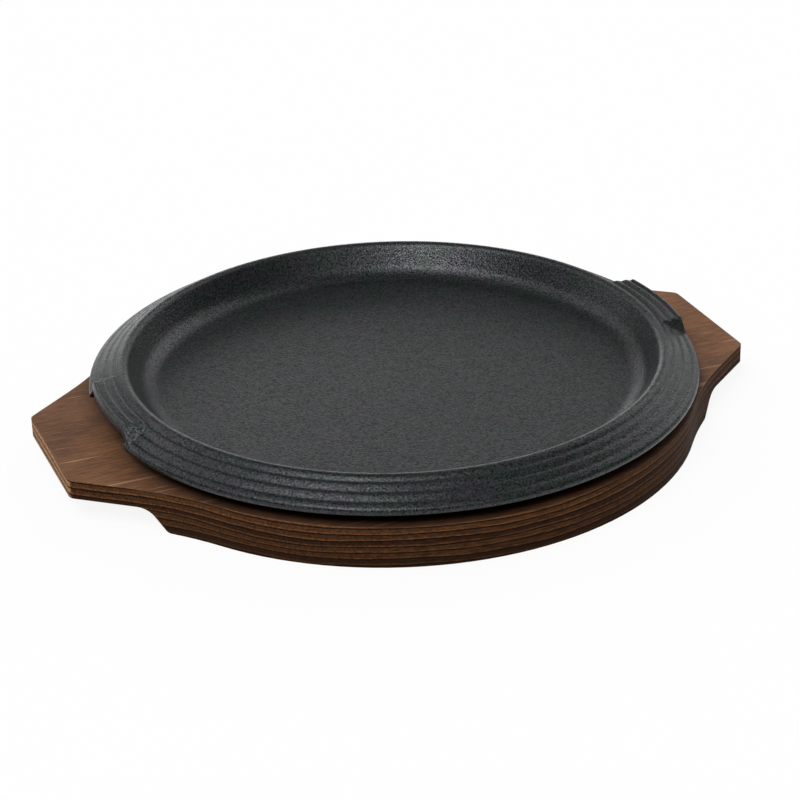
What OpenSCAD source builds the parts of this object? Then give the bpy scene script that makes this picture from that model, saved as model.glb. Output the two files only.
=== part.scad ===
// Round sizzle platter: a cast iron plate with two lifting lugs, resting in
// the shallow seat of a wooden board with two handles.
// Millimetres. The origin is under the middle of the board, on the table.
// X runs along the handles and Z is up.

/* [Dish of the iron plate] */
// Diameter of the rim over the top of its rounded crest
crest_d = 221.8; // [204:0.2:236]
// Radius of the rounded crest
crest_r = 3; // [2:0.1:3.4]
// Depth of the dish from the crest to the floor
dish_depth = 12.8; // [10:0.1:16]
// Slope of the dish wall from the level
wall_slope = 58; // [48:1:72]
// Radius between the floor and the wall of the dish
cove_r = 10; // [5:0.5:12]
// Thickness of the floor
floor_t = 5; // [3.5:0.25:7]
// Thickness of the dish wall
wall_t = 4.2; // [3.4:0.1:5]

/* [Flange of the iron plate] */
// Slope of the flange from the level
flange_slope = 30; // [24:0.5:34]
// Thickness of the flange
flange_t = 3.8; // [3.2:0.1:4.4]
// Fillet between the flange and the dish wall, underneath
root_r = 3; // [1.5:0.5:4]
// Width of the smooth band between the crest and the first ring
band_w = 3.1; // [2.4:0.1:5]
// Number of stepped rings outside the band
ring_n = 2; // [1:1:4]
// Width of one stepped ring
ring_w = 3.8; // [3:0.1:5]
// Height of the step at each ring
ring_h = 0.5; // [0.2:0.05:0.7]
// Width of the smooth outer ring with the rolled edge
edge_w = 3.4; // [3:0.1:5]
// Radius of the rolled edge
edge_r = 2; // [1.7:0.1:2.3]

/* [Lifting lugs of the iron plate] */
// Height of the crest over the top of a lug
lug_drop = 0.7; // [0.5:0.05:1.2]
// Height of the steps across the top of a lug
lug_step_h = 0.8; // [0.5:0.05:0.9]
// Width of a lug at its outer top edge
lug_top_w = 40; // [30:1:46]
// Slope of the ends of a lug from the level
lug_end_slope = 48; // [40:1:70]
// Angle by which each end turns outwards towards the dish, seen from above
lug_flare = 12; // [0:1:20]
// Thickness of a lug over its lifting slot
lug_t = 4; // [3:0.1:4.6]
// Thickness of the end walls of a lug, measured level
lug_end_t = 3; // [2.5:0.1:5]
// Rounding of the outer top edge of a lug
lug_r = 1.4; // [0.8:0.1:1.8]
// Distance of the outer face of a lug, at its top, inside the rolled edge
lug_back = 1.6; // [1:0.1:2]
// Lean of the outer face of a lug from upright
lug_draft = 7; // [3:1:8]

/* [Wooden board] */
// Diameter of the round middle of the board
board_d = 248.2; // [240:0.2:256]
// Length over both handles
board_l = 293; // [284:0.5:304]
// Thickness of the board
board_t = 17; // [14:0.5:22]
// Depth of the round seat for the plate
seat_depth = 2.4; // [1:0.2:4]
// Gap between the plate and the side of its seat
seat_gap = 0.8; // [0.3:0.1:1.5]

/* [Handles of the board] */
// Width of a handle at its end
grip_w = 59; // [48:1:70]
// Width of a handle where its sides would meet the round middle, without the hollow
neck_w = 120; // [104:1:132]
// Radius of the hollow between the side of a handle and the round middle
neck_r = 145; // [60:5:160]
// Rounding of the corners of a handle
corner_r = 4; // [1:0.5:8]
// Thickness of a handle
grip_t = 7.7; // [6:0.1:10]
// Length of the finger space under a handle, at the table
grip_reach = 31; // [24:0.5:34]
// Slope of the inner end of the finger space from the level
reach_slope = 58; // [45:1:75]
// Radius at the top of the finger space
reach_r = 6.5; // [3:0.5:8]
// Rounding of the board's lower edge where the finger space starts
foot_r = 2; // [0.5:0.5:3]

/* [Hidden] */
$fn = 180;

// How far a cutting shape runs past the face that it cuts
past = 1;
// How far a hollow cuts past a line that it only touches, so that no sliver is left there
touch = 0.002;
// Steps in each drawn arc
arc_steps = 8;
// Steps along each stepped ring, and the part of its width that rises
ring_steps = 9;
rise_part = 0.3;

// Points of an arc about c, of radius r, from angle a0 to angle a1
function arc(c, r, a0, a1, steps = arc_steps) =
    [for (i = [0 : steps]) let (a = a0 + (a1 - a0) * i / steps) c + r * [cos(a), sin(a)]];

// The points of a list from its last to its first
function backwards(points) = [for (i = [len(points) - 1 : -1 : 0]) points[i]];

// Heights and radii of the plate, measured from its own flat underside
crest_z = floor_t + dish_depth;
crest_c = [crest_d / 2, crest_z - crest_r];
rings_r = crest_c[0] + band_w;
edge_start_r = rings_r + ring_n * ring_w;
plate_r = edge_start_r + edge_w;

// Inside and outside of the sloping dish wall at height z
function wall_in(z) =
    crest_c[0] - crest_r / sin(wall_slope) + (z - crest_c[1]) / tan(wall_slope);
function wall_out(z) = wall_in(z) + wall_t / sin(wall_slope);

// The cove between floor and wall, and the wider curve under it
cove_c = [wall_in(floor_t) - cove_r * tan(wall_slope / 2), floor_t + cove_r];
belly_r = cove_r + wall_t;
belly_c = [wall_out(0) - belly_r * tan(wall_slope / 2), belly_r];

// Top of the flange at radius r, before its rings are cut, and where the crest runs into it
function fall_z(r) =
    crest_c[1] + crest_r / cos(flange_slope) - (r - crest_c[0]) * tan(flange_slope);
band_r = crest_c[0] + crest_r * sin(flange_slope);

// The rolled edge, which the top of the flange runs into
edge_c = [plate_r - edge_r, fall_z(plate_r - edge_r) - edge_r / cos(flange_slope)];

// Where the underside of the flange would meet the outside of the wall, and their fillet
root_z = (fall_z(wall_out(0)) - flange_t / cos(flange_slope))
    / (1 + tan(flange_slope) / tan(wall_slope));
root_c = [wall_out(root_z), root_z]
    + root_r / (1 + cos(wall_slope + flange_slope))
    * [sin(wall_slope) - sin(flange_slope), -cos(wall_slope) - cos(flange_slope)];

// How far a ring lies under its highest line, as a part of the step height,
// for u from 0 to 1 across its width: a short rise, then a long fall
function ring_dip(u) =
    u < rise_part ? pow(cos(90 * u / rise_part), 2)
    : 1 - cos(90 * (u - rise_part) / (1 - rise_part));

// Tops of the band and the rings as [radius, dip]. The band has only a ring's fall,
// and the smooth outer ring only its rise.
ring_tops = concat(
    [for (i = [1 : ring_steps]) let (part = i / ring_steps)
        [band_r + part * (rings_r - band_r), ring_dip(rise_part + part * (1 - rise_part))]],
    [for (k = [0 : ring_n], i = [1 : ring_steps]) let (u = i / ring_steps)
        if (k < ring_n || u <= rise_part + 1 / ring_steps)
            [rings_r + (k + u) * ring_w, k < ring_n || u < rise_part ? ring_dip(u) : 0]]
);

// Half of the casting's section, without its lugs
plate_section = concat(
    [[0, 0]],
    arc(belly_c, belly_r, -90, wall_slope - 90),
    arc(root_c, root_r, 90 + wall_slope, 90 - flange_slope),
    arc(edge_c, edge_r, -90 - flange_slope, 90 - flange_slope, 2 * arc_steps),
    [for (p = backwards(ring_tops)) [p[0], fall_z(p[0]) - ring_h * p[1]]],
    arc(crest_c, crest_r, 90 - flange_slope, 90 + wall_slope),
    arc(cove_c, cove_r, wall_slope - 90, -90),
    [[0, floor_t]]
);

// Section of a lug: the rings run on level to a rounded outer edge and a leaning face
lug_z = crest_z - lug_drop;
lug_out_r = plate_r - lug_back;
lug_edge_c = [lug_out_r - lug_r, lug_z - lug_r];
lug_face = lug_edge_c + lug_r * [cos(lug_draft), sin(lug_draft)];
lug_section = concat(
    [crest_c, [crest_c[0], lug_z], [band_r, lug_z]],
    [for (p = ring_tops) if (p[0] < lug_edge_c[0]) [p[0], lug_z - lug_step_h * p[1]]],
    arc(lug_edge_c, lug_r, 90, lug_draft),
    [[lug_face[0] + (lug_face[1] - edge_c[1]) * tan(lug_draft), edge_c[1]], edge_c]
);

// Section of the lifting slot under a lug, just outside the dish wall
slot_z = lug_z - lug_t;
slot_r = wall_out(slot_z) + past;
slot_section = [[slot_r, 0], [plate_r + past, 0], [plate_r + past, slot_z], [slot_r, slot_z]];

// Half the width of a lug at height z, at its outer face
function lug_half(z) = lug_top_w / 2 + (lug_z - z) / tan(lug_end_slope);

// The space on the lug's side of one of its ends, less an inset measured level
module lug_side(inset) {
    translate([lug_out_r, 0, 0])
    rotate([90, 0, 90 - lug_flare])
    linear_extrude(2 * plate_r, center = true)
    polygon([
        [-plate_r, 0], [lug_half(0) - inset, 0], [lug_half(crest_z) - inset, crest_z],
        [-plate_r, crest_z]
    ]);
}

// A ring of the given section, kept only where the lugs are
module lug_part(section, inset) {
    for (end = [0, 1]) mirror([end, 0, 0])
        intersection() {
            rotate_extrude() polygon(section);
            translate([0, -plate_r / 2, 0]) cube([2 * plate_r, plate_r, crest_z]);
            lug_side(inset);
            mirror([0, 1, 0]) lug_side(inset);
        }
}

// The casting: a shallow dish with a stepped flange and two lugs
module iron_plate() {
    color([0.17, 0.18, 0.18])
    translate([0, 0, board_t - seat_depth])
    difference() {
        union() {
            rotate_extrude() polygon(plate_section);
            lug_part(lug_section, 0);
        }
        lug_part(slot_section, lug_end_t);
    }
}

// Radius of the seat, clear of the plate's curved underside
seat_r = belly_c[0] + sqrt(pow(belly_r, 2) - pow(belly_r - seat_depth, 2)) + seat_gap;

// Where the side of a handle would meet the round middle, its angle to the length of the
// board, its normal, and its distance from the middle
board_r = board_d / 2;
neck_p = [sqrt(pow(board_r, 2) - pow(neck_w / 2, 2)), neck_w / 2];
grip_flare = atan2(neck_p[1] - grip_w / 2, board_l / 2 - neck_p[0]);
side_n = [sin(grip_flare), cos(grip_flare)];
side_d = side_n * neck_p;

// The hollow at the neck touches the round middle and the side of the handle
neck_a = 90 - grip_flare - acos((side_d + neck_r) / (board_r + neck_r));
neck_c = (board_r + neck_r) * [cos(neck_a), sin(neck_a)];

// Centre of a handle's rounded corner
corner_x = board_l / 2 - corner_r;
corner_c = [corner_x, (side_d - corner_r - side_n[0] * corner_x) / side_n[1]];

// One quarter of the board's outline, outside its round middle
module handle_quarter() {
    difference() {
        polygon(concat(
            [[0, 0], [board_l / 2, 0]],
            arc(corner_c, corner_r, 0, 90 - grip_flare),
            [neck_c - neck_r * side_n, board_r * [cos(neck_a), sin(neck_a)]]
        ));
        translate(neck_c) circle(neck_r + touch);
    }
}

module board_outline() {
    circle(board_r);
    for (end = [0, 1], side = [0, 1])
        mirror([end, 0]) mirror([0, side]) handle_quarter();
}

// Finger space under a handle, drawn as seen along the board's width: a rounded foot, a
// sloping inner end, and a curve into the underside of the handle
grip_z = board_t - grip_t;
reach_x = board_l / 2 - grip_reach;
foot_c = [reach_x - foot_r * tan(reach_slope / 2), foot_r];
reach_c = [
    reach_x + grip_z / tan(reach_slope) + reach_r * tan(reach_slope / 2),
    grip_z - reach_r
];

module finger_space() {
    rotate([90, 0, 0])
    linear_extrude(board_d, center = true)
    polygon(concat(
        [[foot_c[0], -past]],
        arc(foot_c, foot_r, -90, reach_slope - 90),
        arc(reach_c, reach_r, 90 + reach_slope, 90),
        [[board_l, grip_z], [board_l, -past]]
    ));
}

// The board: one plank with a seat for the plate and two thinner handles
module wood_board() {
    color([0.42, 0.24, 0.15])
    difference() {
        linear_extrude(board_t) board_outline();
        translate([0, 0, board_t - seat_depth]) cylinder(r = seat_r, h = seat_depth + past);
        for (end = [0, 1]) mirror([end, 0, 0]) finger_space();
    }
}

iron_plate();
wood_board();
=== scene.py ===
import math

import bpy
from mathutils import Matrix, Vector

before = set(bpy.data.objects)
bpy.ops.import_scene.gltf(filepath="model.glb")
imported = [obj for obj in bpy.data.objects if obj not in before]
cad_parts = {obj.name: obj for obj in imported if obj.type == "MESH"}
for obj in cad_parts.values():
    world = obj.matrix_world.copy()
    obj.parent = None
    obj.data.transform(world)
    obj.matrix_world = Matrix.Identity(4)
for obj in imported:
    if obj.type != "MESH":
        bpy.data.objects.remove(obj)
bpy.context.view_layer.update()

MM = 0.001
iron_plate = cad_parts["iron_plate"]
wood_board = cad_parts["wood_board"]


def linear(hex_colour):
    """An sRGB hex colour as linear red, green, blue and alpha."""
    channels = [int(hex_colour[i:i + 2], 16) / 255 for i in (1, 3, 5)]
    return [c / 12.92 if c <= 0.04045 else ((c + 0.055) / 1.055) ** 2.4 for c in channels] + [1]


def add(tree, kind, inputs={}, **settings):
    """Adds a shader node with its settings, and gives each input a value or a link."""
    node = tree.nodes.new("ShaderNode" + kind)
    for name, value in settings.items():
        setattr(node, name, value)
    for name, value in inputs.items():
        if isinstance(value, bpy.types.NodeSocket):
            tree.links.new(value, node.inputs[name])
        else:
            node.inputs[name].default_value = value
    return node


def new_material(name):
    """An empty node material and its tree."""
    material = bpy.data.materials.new(name)
    material.use_nodes = True
    material.node_tree.nodes.clear()
    return material, material.node_tree


# Camera, found from the photograph's outlines
LENS_MM = 108.85
SENSOR_MM = 36
NEAREST_SEEN = 50 * MM
FARTHEST_SEEN = 30
LOOK_AT = Vector((7.555 * MM, 13.544 * MM, 0))
CAMERA_DISTANCE = 1020.66 * MM
AZIMUTH, ELEVATION, ROLL = (math.radians(a) for a in (-21.266, 26.425, -1.530))

back = Vector((
    math.sin(AZIMUTH) * math.cos(ELEVATION),
    -math.cos(AZIMUTH) * math.cos(ELEVATION),
    math.sin(ELEVATION),
))
level = Vector((math.cos(AZIMUTH), math.sin(AZIMUTH), 0))
upright = back.cross(level)
right = level * math.cos(ROLL) + upright * math.sin(ROLL)
up = upright * math.cos(ROLL) - level * math.sin(ROLL)

camera = bpy.data.objects.new("camera", bpy.data.cameras.new("camera"))
camera.data.lens = LENS_MM
camera.data.sensor_width = SENSOR_MM
camera.data.clip_start = NEAREST_SEEN
camera.data.clip_end = FARTHEST_SEEN
camera.matrix_world = Matrix.Translation(LOOK_AT + back * CAMERA_DISTANCE) @ Matrix(
    (right, up, back)).transposed().to_4x4()
bpy.context.scene.collection.objects.link(camera)
bpy.context.scene.camera = camera


def add_worn_edges(tree, reach, start, full):
    """A mask that is 1 along the edges that hands and cloths have rubbed, 0 elsewhere. It
    starts where the cosine of the edge's turn falls below start, and is whole at full."""
    face = add(tree, "NewGeometry").outputs["Normal"]
    rounded = add(tree, "Bevel", {"Radius": reach}, samples=8)
    turn = add(tree, "VectorMath", {0: face, 1: rounded.outputs["Normal"]},
               operation="DOT_PRODUCT")
    return add(tree, "MapRange", {
        "Value": turn.outputs["Value"], "From Min": start, "From Max": full,
        "To Min": 0.0, "To Max": 1.0,
    }).outputs["Result"]


def add_recesses(tree, reach, start, full):
    """A mask that is 1 deep in a recess, 0 on an open face. It starts where the share of open
    directions falls below start, and is whole at full."""
    opening = add(tree, "AmbientOcclusion", {"Distance": reach}, samples=8)
    return add(tree, "MapRange", {
        "Value": opening.outputs["AO"], "From Min": start, "From Max": full,
        "To Min": 0.0, "To Max": 1.0,
    }).outputs["Result"]


def make_iron():
    """Grey iron cast in fine sand and seasoned with oil: a dull near-black with a broad soft
    shine, a sandy grain, faint green and violet patches, and edges rubbed a little paler."""
    material, tree = new_material("seasoned_sand_cast_iron")
    place = add(tree, "TexCoord").outputs["Object"]
    # The sand's marks are 0.2 mm and would not show, so they are drawn at 0.8 mm. The cast
    # skin is uneven every 4 mm, and the oil has dried in patches of about 14 mm
    sand = add(tree, "TexNoise", {"Vector": place, "Scale": 1 / (0.8 * MM), "Detail": 2.0})
    skin = add(tree, "TexNoise", {"Vector": place, "Scale": 1 / (4 * MM), "Detail": 3.0})
    cloud = add(tree, "TexNoise", {"Vector": place, "Scale": 1 / (14 * MM), "Detail": 2.0})
    patch = add(tree, "MapRange", {
        "Value": cloud.outputs["Fac"], "From Min": 0.38, "From Max": 0.62,
    })
    oil = add(tree, "Mix", {
        "Factor": patch.outputs["Result"], 6: linear("#121b18"), 7: linear("#19191c"),
    }, data_type="RGBA")
    film = add(tree, "Mix", {
        "Factor": patch.outputs["Result"], 6: linear("#ebf3f1"), 7: linear("#efedf7"),
    }, data_type="RGBA")
    # Each grain takes more or less of the oil and of the light
    speck = add(tree, "MapRange", {
        "Value": sand.outputs["Fac"], "From Min": 0.3, "From Max": 0.7,
        "To Min": 0.3, "To Max": 1.7,
    })
    grained = add(tree, "VectorMath", {0: oil.outputs[2], "Scale": speck.outputs["Result"]},
                  operation="SCALE")
    rubbed = add_worn_edges(tree, 1.2 * MM, 0.98, 0.8)
    polished = add(tree, "Mix", {
        "Factor": rubbed, 6: grained.outputs[0], 7: linear("#2e2e30"),
    }, data_type="RGBA")
    # Painted shade: in the recesses and close above the board the iron is painted darker and
    # less glossy, where shade falls
    painted_recess_shade = add_recesses(tree, 10 * MM, 0.8, 0.4)
    tone = add(tree, "Mix", {
        "Factor": painted_recess_shade, 6: polished.outputs[2], 7: linear("#0c0d0d"),
    }, data_type="RGBA")
    painted_shade_gloss = add(tree, "MapRange", {
        "Value": painted_recess_shade, "From Min": 0.0, "From Max": 1.0, "To Min": 0.44, "To Max": 0.06,
    })
    gloss = add(tree, "Math", {0: painted_shade_gloss.outputs["Result"], 1: speck.outputs["Result"]},
                operation="MULTIPLY")
    rough = add(tree, "MapRange", {
        "Value": skin.outputs["Fac"], "From Min": 0.3, "From Max": 0.7,
        "To Min": 0.30, "To Max": 0.38,
    })
    # The mould rounds every corner by about a millimetre
    rounded = add(tree, "Bevel", {"Radius": 1.2 * MM}, samples=8)
    hollow = add(tree, "Bump", {
        "Height": skin.outputs["Fac"], "Strength": 0.5, "Distance": 0.2 * MM,
        "Normal": rounded.outputs["Normal"],
    })
    grain = add(tree, "Bump", {
        "Height": sand.outputs["Fac"], "Strength": 1.0, "Distance": 0.17 * MM,
        "Normal": hollow.outputs["Normal"],
    })
    surface = add(tree, "BsdfPrincipled", {
        "Base Color": tone.outputs[2], "Roughness": rough.outputs["Result"],
        "IOR": 1.5, "Specular IOR Level": gloss.outputs[0],
        "Specular Tint": film.outputs[2], "Normal": grain.outputs["Normal"],
    })
    add(tree, "OutputMaterial", {"Surface": surface.outputs["BSDF"]})
    return material


def make_wood():
    """Plank stained walnut brown: warm and satin on top with fine fibres along the handles and
    a few pale streaks, darker on the sawn sides, where the growth layers show as lines."""
    material, tree = new_material("walnut_stained_plank")
    place = add(tree, "TexCoord").outputs["Object"]
    spot = add(tree, "SeparateXYZ", {0: place}).outputs
    facing = add(tree, "SeparateXYZ", {0: add(tree, "NewGeometry").outputs["Normal"]}).outputs

    # Fibres run along the handles. They are 0.2 mm apart and would not show, so they are
    # drawn 0.8 mm apart and 8 mm long. The stain took unevenly every 22 mm
    along = add(tree, "Mapping", {"Vector": place, "Scale": (0.1, 1, 1)}).outputs["Vector"]
    fibre = add(tree, "TexNoise", {
        "Vector": along, "Scale": 1 / (0.8 * MM), "Detail": 3.0, "Roughness": 0.8,
    })
    stain = add(tree, "TexNoise", {"Vector": place, "Scale": 1 / (22 * MM), "Detail": 2.0})
    blend = add(tree, "Math", {0: stain.outputs["Fac"], 1: 0.5, 2: fibre.outputs["Fac"]},
                operation="MULTIPLY_ADD")
    shade = add(tree, "MapRange", {
        "Value": blend.outputs[0], "From Min": 0.58, "From Max": 0.92,
    })
    top = add(tree, "Mix", {
        "Factor": shade.outputs["Result"], 6: linear("#4f311d"), 7: linear("#815738"),
    }, data_type="RGBA")

    # Pale streaks where the stain missed a vessel, at a slight angle to the fibres, 1.8 mm
    # apart and 30 mm long
    askew = add(tree, "Mapping", {
        "Vector": place, "Rotation": (0, 0, math.radians(7)), "Scale": (0.06, 1, 0.3),
    }).outputs["Vector"]
    vessel = add(tree, "TexNoise", {"Vector": askew, "Scale": 1 / (1.8 * MM), "Detail": 0.0})
    missed = add(tree, "MapRange", {
        "Value": vessel.outputs["Fac"], "From Min": 0.72, "From Max": 0.8,
        "To Min": 0.0, "To Max": 0.7,
    })
    streaked = add(tree, "Mix", {
        "Factor": missed.outputs["Result"], 6: top.outputs[2], 7: linear("#a98466"),
    }, data_type="RGBA")

    # Growth layers, nearly level through the plank, warped by 1 mm up and down
    layer_height = 2.7 * MM
    warp_height = 4 * MM
    squeezed = add(tree, "Mapping", {"Vector": place, "Scale": (1, 1, 6)}).outputs["Vector"]
    warp = add(tree, "TexNoise", {
        "Vector": squeezed, "Scale": 1 / (60 * MM), "Detail": 5.0, "Roughness": 0.45,
    })
    lift = add(tree, "Math", {0: warp.outputs["Fac"], 1: warp_height, 2: spot["Z"]},
               operation="MULTIPLY_ADD")
    layer = add(tree, "Math", {0: lift.outputs[0], 1: 1 / layer_height}, operation="MULTIPLY")
    depth = add(tree, "Math", {0: layer.outputs[0]}, operation="FRACT")
    number = add(tree, "Math", {0: layer.outputs[0]}, operation="FLOOR")
    own = add(tree, "TexWhiteNoise", {"W": number.outputs[0]}, noise_dimensions="1D")
    body = add(tree, "Mix", {
        "Factor": own.outputs["Value"], 6: linear("#2e1b0f"), 7: linear("#4b301b"),
    }, data_type="RGBA")
    # Painted light: the end faces across the handles are painted paler, as the light that falls
    # on them
    across = add(tree, "Math", {0: facing["X"]}, operation="ABSOLUTE")
    painted_lit_end = add(tree, "MapRange", {
        "Value": across.outputs[0], "From Min": 0.8, "From Max": 0.97,
        "To Min": 0.0, "To Max": 0.8,
    })
    lit_end_colour = add(tree, "Mix", {
        "Factor": painted_lit_end.outputs["Result"], 6: body.outputs[2], 7: linear("#a67c5a"),
    }, data_type="RGBA")
    # Each layer starts light and ends in a thin dark line
    late = add(tree, "MapRange", {
        "Value": depth.outputs[0], "From Min": 0.68, "From Max": 0.88,
    })
    layered = add(tree, "Mix", {
        "Factor": late.outputs["Result"], 6: lit_end_colour.outputs[2], 7: linear("#140903"),
    }, data_type="RGBA")
    early = add(tree, "MapRange", {
        "Value": depth.outputs[0], "From Min": 0.3, "From Max": 0.1,
        "To Min": 0.0, "To Max": 0.55,
    })
    lined = add(tree, "Mix", {
        "Factor": early.outputs["Result"], 6: layered.outputs[2], 7: linear("#74492a"),
    }, data_type="RGBA")
    # The saw left the fibres open in specks 0.8 mm across
    open_fibre = add(tree, "MapRange", {
        "Value": fibre.outputs["Fac"], "From Min": 0.35, "From Max": 0.65,
        "To Min": 0.45, "To Max": 1.55,
    })
    sawn = add(tree, "VectorMath", {0: lined.outputs[2], "Scale": open_fibre.outputs["Result"]},
               operation="SCALE")

    # The top and the underside are planed, the sides are sawn
    upright = add(tree, "Math", {0: facing["Z"]}, operation="ABSOLUTE")
    is_side = add(tree, "MapRange", {
        "Value": upright.outputs[0], "From Min": 0.9, "From Max": 0.6,
    })
    cut = add(tree, "Mix", {
        "Factor": is_side.outputs["Result"], 6: streaked.outputs[2], 7: sawn.outputs[0],
    }, data_type="RGBA")
    shine = add(tree, "MapRange", {
        "Value": is_side.outputs["Result"], "From Min": 0.0, "From Max": 1.0,
        "To Min": 0.45, "To Max": 0.08,
    })

    rubbed = add_worn_edges(tree, 0.8 * MM, 0.98, 0.75)
    worn = add(tree, "Math", {0: rubbed, 1: 0.35}, operation="MULTIPLY")
    paled = add(tree, "Mix", {
        "Factor": worn.outputs[0], 6: cut.outputs[2], 7: linear("#9a7458"),
    }, data_type="RGBA")
    # Painted shadow: the wood under the plate's rim and in other recesses is painted darker,
    # where shade falls
    painted_rim_shadow = add_recesses(tree, 14 * MM, 0.95, 0.45)
    share = add(tree, "Math", {0: painted_rim_shadow, 1: 0.75}, operation="MULTIPLY")
    tone = add(tree, "Mix", {
        "Factor": share.outputs[0], 6: paled.outputs[2], 7: linear("#1a0e07"),
    }, data_type="RGBA")
    rough = add(tree, "MapRange", {
        "Value": fibre.outputs["Fac"], "From Min": 0.3, "From Max": 0.7,
        "To Min": 0.6, "To Max": 0.75,
    })
    # Its edges are eased by 0.6 mm with sandpaper
    eased = add(tree, "Bevel", {"Radius": 0.6 * MM}, samples=8)
    grain = add(tree, "Bump", {
        "Height": fibre.outputs["Fac"], "Strength": 0.5, "Distance": 0.15 * MM,
        "Normal": eased.outputs["Normal"],
    })
    surface = add(tree, "BsdfPrincipled", {
        "Base Color": tone.outputs[2], "Roughness": rough.outputs["Result"], "IOR": 1.4,
        "Specular IOR Level": shine.outputs["Result"], "Normal": grain.outputs["Normal"],
    })
    add(tree, "OutputMaterial", {"Surface": surface.outputs["BSDF"]})
    return material


for piece, material in ((iron_plate, make_iron()), (wood_board, make_wood())):
    piece.data.materials.clear()
    piece.data.materials.append(material)


FLOOR_HALF = 4.0
FLOOR_HEIGHT = -0.1 * MM
# How much of the paper shows as plain white. The rest takes the light and the shadow
WHITE_SHARE = 0.9


def make_floor():
    """Plain white paper: it shows as the white ground and keeps a soft shadow."""
    mesh = bpy.data.meshes.new("floor")
    corners = [(x * FLOOR_HALF, y * FLOOR_HALF, FLOOR_HEIGHT)
               for x, y in ((-1, -1), (1, -1), (1, 1), (-1, 1))]
    mesh.from_pydata(corners, [], [(0, 1, 2, 3)])
    floor = bpy.data.objects.new("floor", mesh)
    bpy.context.scene.collection.objects.link(floor)
    material, tree = new_material("white_paper")
    path = add(tree, "LightPath").outputs
    seen = add(tree, "Math", {0: path["Is Camera Ray"], 1: path["Is Glossy Ray"]},
               operation="MAXIMUM")
    share = add(tree, "Math", {0: seen.outputs[0], 1: WHITE_SHARE}, operation="MULTIPLY")
    paper = add(tree, "BsdfDiffuse", {"Color": linear("#f4f4f4")})
    ground = add(tree, "Emission", {"Color": linear("#ffffff"), "Strength": 1.0})
    lit = add(tree, "MixShader", {
        0: share.outputs[0], 1: paper.outputs[0], 2: ground.outputs[0],
    })
    # Clear from beneath, so that the underside can be looked at
    beneath = add(tree, "NewGeometry").outputs["Backfacing"]
    clear = add(tree, "BsdfTransparent")
    mix = add(tree, "MixShader", {0: beneath, 1: lit.outputs[0], 2: clear.outputs[0]})
    add(tree, "OutputMaterial", {"Surface": mix.outputs[0]})
    floor.data.materials.append(material)


make_floor()


# Softboxes as direction in degrees, half width, width of the soft edge, and strength
SOFTBOXES = (
    ("left", -66, 60, 11, 13, 4.0),
    ("left_low", -38, 48, 4, 8, 17.0),
    ("camera", 6, 50, 8, 12, 1.5),
    ("right", 120, 32, 12, 20, 1.4),
    ("backdrop", 168, -1, 8, 20, 2.4),
    ("back_left", -139, 33, 12, 20, 1.2),
)


def make_studio():
    """A dim grey room with soft white boxes around it, all white where the camera looks."""
    world = bpy.data.worlds.new("studio")
    world.use_nodes = True
    tree = world.node_tree
    tree.nodes.clear()
    way = add(tree, "TexCoord").outputs["Generated"]
    height = add(tree, "SeparateXYZ", {0: way}).outputs["Z"]
    level = add(tree, "MapRange", {
        "Value": height, "From Min": 0.1, "From Max": 0.9, "To Min": 0.1, "To Max": 0.2,
    }, interpolation_type="SMOOTHSTEP").outputs["Result"]
    for name, azimuth, elevation, half, edge, strength in SOFTBOXES:
        a, e = math.radians(azimuth), math.radians(elevation)
        middle = (math.sin(a) * math.cos(e), -math.cos(a) * math.cos(e), math.sin(e))
        across = add(tree, "VectorMath", {0: way, 1: middle}, operation="DOT_PRODUCT")
        angle = add(tree, "Math", {0: across.outputs["Value"]}, operation="ARCCOSINE")
        box = add(tree, "MapRange", {
            "Value": angle.outputs[0], "From Min": math.radians(half + edge),
            "From Max": math.radians(half), "To Min": 0.0, "To Max": strength,
        }, interpolation_type="SMOOTHSTEP")
        box.label = name
        level = add(tree, "Math", {0: level, 1: box.outputs["Result"]}).outputs[0]
    path = add(tree, "LightPath").outputs
    strength = add(tree, "Mix", {"Factor": path["Is Camera Ray"], 2: level, 3: 1.0})
    light = add(tree, "Background", {
        "Color": linear("#ffffff"), "Strength": strength.outputs[0],
    })
    add(tree, "OutputWorld", {"Surface": light.outputs[0]})
    bpy.context.scene.world = world


make_studio()

bpy.context.scene.view_settings.view_transform = "Standard"
